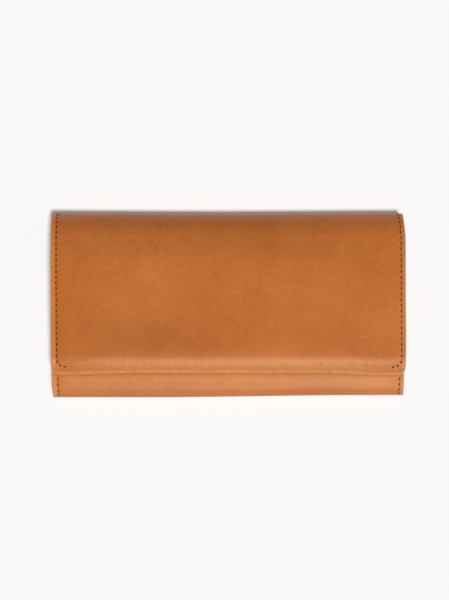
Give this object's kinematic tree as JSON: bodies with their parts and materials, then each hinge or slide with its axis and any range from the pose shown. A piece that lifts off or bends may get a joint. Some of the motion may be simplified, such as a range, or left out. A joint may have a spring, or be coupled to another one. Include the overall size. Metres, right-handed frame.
{
  "type": "long wallet",
  "caption": "Long leather flap wallet with a gusseted zip coin pocket, note compartments, card leaves and a hidden magnetic snap.",
  "frame": {"origin": "centre of the back panel's outer face, on the surface the closed wallet lies on", "axes": "+X along the wallet's width, +Y towards the top fold, +Z from the back panel out through the flap"},
  "size_m": [0.191, 0.0996, 0.0257],
  "materials": {
    "tan_leather": "smooth waxed tan cowhide, satin, with pull-up shading",
    "inner_leather": "thin matt tan leather",
    "twill": "fine brown cotton twill",
    "stiffener_board": "stiff non-woven board",
    "thread": "waxed dark brown polyester thread",
    "zip_tape": "woven brown tape",
    "zip_metal": "antique brass, satin",
    "snap_metal": "antique brass plate, polished",
    "magnet": "dark sintered ferrite"
  },
  "bodies": {
    "back": {"back_shell": "tan_leather", "back_lining": "twill", "back_threads": "thread", "back_card_leaf_lower": "inner_leather", "back_card_leaf_upper": "inner_leather"},
    "spine_lower": {"spine_shell_lower": "tan_leather", "spine_lining_lower": "inner_leather", "spine_threads_lower": "thread"},
    "spine_upper": {"spine_shell_upper": "tan_leather", "spine_lining_upper": "inner_leather", "spine_threads_upper": "thread"},
    "flap": {"flap_shell": "tan_leather", "flap_stiffener": "stiffener_board", "flap_threads": "thread", "snap_stud": "snap_metal", "snap_stud_washer": "snap_metal"},
    "coin_pocket": {"coin_pocket_bag": "twill", "front_card_leaf_lower": "inner_leather", "front_card_leaf_upper": "inner_leather", "zip_tape_rear": "zip_tape", "zip_tape_front": "zip_tape", "zip_teeth_rear": "zip_metal", "zip_teeth_front": "zip_metal", "zip_stops": "zip_metal", "gusset_rear_left": "inner_leather", "gusset_rear_right": "inner_leather", "gusset_front_left": "inner_leather", "gusset_front_right": "inner_leather"},
    "front_panel": {"front_shell": "tan_leather", "front_lining": "twill", "front_threads": "thread", "snap_socket": "snap_metal", "snap_magnet": "magnet", "snap_socket_washer": "snap_metal"},
    "zip_slider": {"zip_slider": "zip_metal"},
    "zip_pull": {"zip_pull": "zip_metal"}
  },
  "joints": [
    {"name": "fold_lower", "type": "hinge", "parent": "back", "child": "spine_lower", "pos_m": [0, 0.04328, 0.00166], "axis": [-1, 0, 0], "range_deg": [0, 60]},
    {"name": "fold_middle", "type": "hinge", "parent": "spine_lower", "child": "spine_upper", "pos_m": [0, 0.04965, 0.0127], "axis": [-1, 0, 0], "range_deg": [0, 60]},
    {"name": "flap_open", "type": "hinge", "parent": "spine_upper", "child": "flap", "pos_m": [0, 0.04328, 0.02374], "axis": [-1, 0, 0], "range_deg": [0, 60]},
    {"name": "pocket_spread", "type": "hinge", "parent": "back", "child": "coin_pocket", "pos_m": [0, -0.04965, 0.00725], "axis": [1, 0, 0], "range_deg": [0, 8], "deforming": ["gusset_rear_left", "gusset_rear_right"]},
    {"name": "front_spread", "type": "hinge", "parent": "coin_pocket", "child": "front_panel", "pos_m": [0, -0.04965, 0.00725], "axis": [1, 0, 0], "range_deg": [0, 8], "deforming": ["gusset_front_left", "gusset_front_right"]},
    {"name": "zip_travel", "type": "slide", "parent": "coin_pocket", "child": "zip_slider", "axis": [1, 0, 0], "range_m": [0, 0.14]},
    {"name": "pull_swing", "type": "hinge", "parent": "zip_slider", "child": "zip_pull", "pos_m": [-0.07, 0.02936, 0.01092], "axis": [0, -0.0464, 0.9989], "range_deg": [0, 180]}
  ],
  "couplings": [
    {"joint": "fold_lower", "follows": "flap_open", "ratio": 1},
    {"joint": "fold_middle", "follows": "flap_open", "ratio": 1},
    {"joint": "pocket_spread", "follows": "flap_open", "ratio": 0.13333},
    {"joint": "front_spread", "follows": "flap_open", "ratio": 0.13333}
  ]
}
